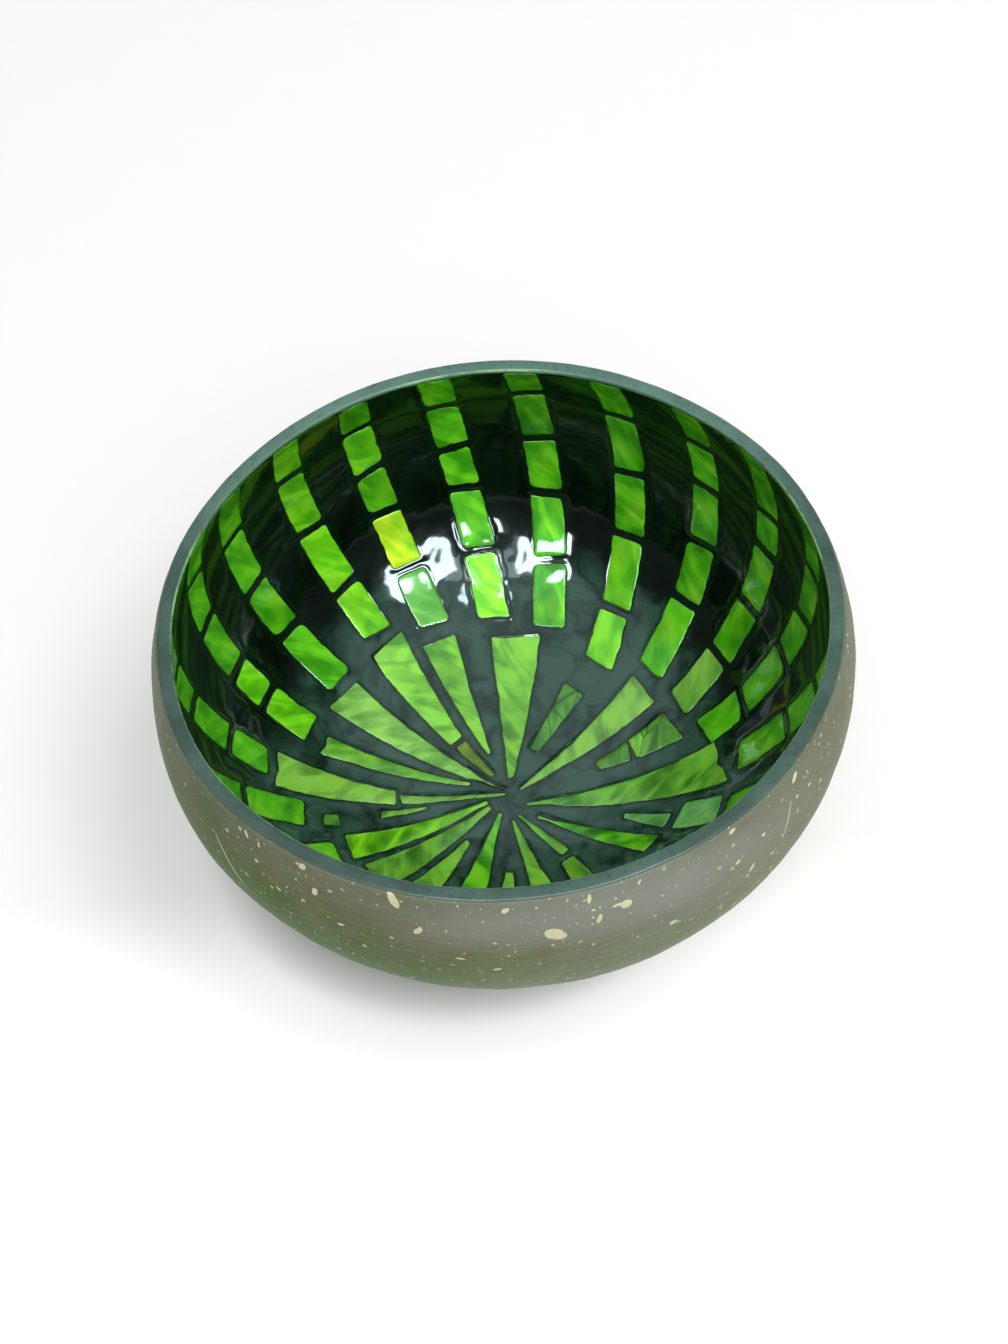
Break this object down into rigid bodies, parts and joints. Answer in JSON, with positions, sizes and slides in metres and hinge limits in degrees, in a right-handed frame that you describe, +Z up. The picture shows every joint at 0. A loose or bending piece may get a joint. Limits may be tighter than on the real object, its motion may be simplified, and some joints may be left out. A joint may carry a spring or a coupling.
{
  "type": "coconut shell bowl",
  "caption": "Half coconut shell bowl, dark lacquered inside and laid with a star of green pearl wedges and leaning columns of pearl tiles.",
  "frame": {"origin": "centre of the ground foot, on the surface that the bowl stands on", "axes": "+Z up along the bowl's axis, from the foot to the rim; +Y from the middle of the bowl towards the side that is furthest from the viewer in the picture; +X to the right in the picture"},
  "size_m": [0.1348, 0.1348, 0.063],
  "materials": {
    "shell": "polished coconut shell, taupe brown with fine grain and cream flecks",
    "ground_lacquer": "near-black green lacquer with a high gloss",
    "rim_lacquer": "slate blue-grey lacquer, satin gloss",
    "pearl_wedge": "bright green dyed pearl under clear gloss",
    "pearl_tile": "deep green dyed pearl under clear gloss"
  },
  "bodies": {
    "root": {"coconut_shell": "shell", "lacquer_lining": "ground_lacquer", "rim_lacquer": "rim_lacquer", "centre_wedge_01": "pearl_wedge", "centre_wedge_02": "pearl_wedge", "centre_wedge_03": "pearl_wedge", "centre_wedge_04": "pearl_wedge", "centre_wedge_05": "pearl_wedge", "centre_wedge_06": "pearl_wedge", "centre_wedge_07": "pearl_wedge", "centre_wedge_08": "pearl_wedge", "centre_wedge_09": "pearl_wedge", "centre_wedge_10": "pearl_wedge", "centre_wedge_11": "pearl_wedge", "centre_wedge_12": "pearl_wedge", "centre_wedge_13": "pearl_wedge", "centre_wedge_14": "pearl_wedge", "centre_wedge_15": "pearl_wedge", "centre_wedge_16": "pearl_wedge", "centre_wedge_17": "pearl_wedge", "centre_wedge_18": "pearl_wedge", "centre_wedge_19": "pearl_wedge", "centre_wedge_20": "pearl_wedge", "centre_wedge_21": "pearl_wedge", "centre_wedge_22": "pearl_wedge", "centre_wedge_23": "pearl_wedge", "centre_wedge_24": "pearl_wedge", "centre_wedge_25": "pearl_wedge", "tile_column_01": "pearl_tile", "tile_column_02": "pearl_tile", "tile_column_03": "pearl_tile", "tile_column_04": "pearl_tile", "tile_column_05": "pearl_tile", "tile_column_06": "pearl_tile", "tile_column_07": "pearl_tile", "tile_column_08": "pearl_tile", "tile_column_09": "pearl_tile", "tile_column_10": "pearl_tile", "tile_column_11": "pearl_tile", "tile_column_12": "pearl_tile", "tile_column_13": "pearl_tile", "tile_column_14": "pearl_tile", "tile_column_15": "pearl_tile", "tile_column_16": "pearl_tile", "tile_column_17": "pearl_tile", "tile_column_18": "pearl_tile", "tile_column_19": "pearl_tile", "tile_column_20": "pearl_tile", "tile_column_21": "pearl_tile", "tile_column_22": "pearl_tile"}
  },
  "joints": []
}
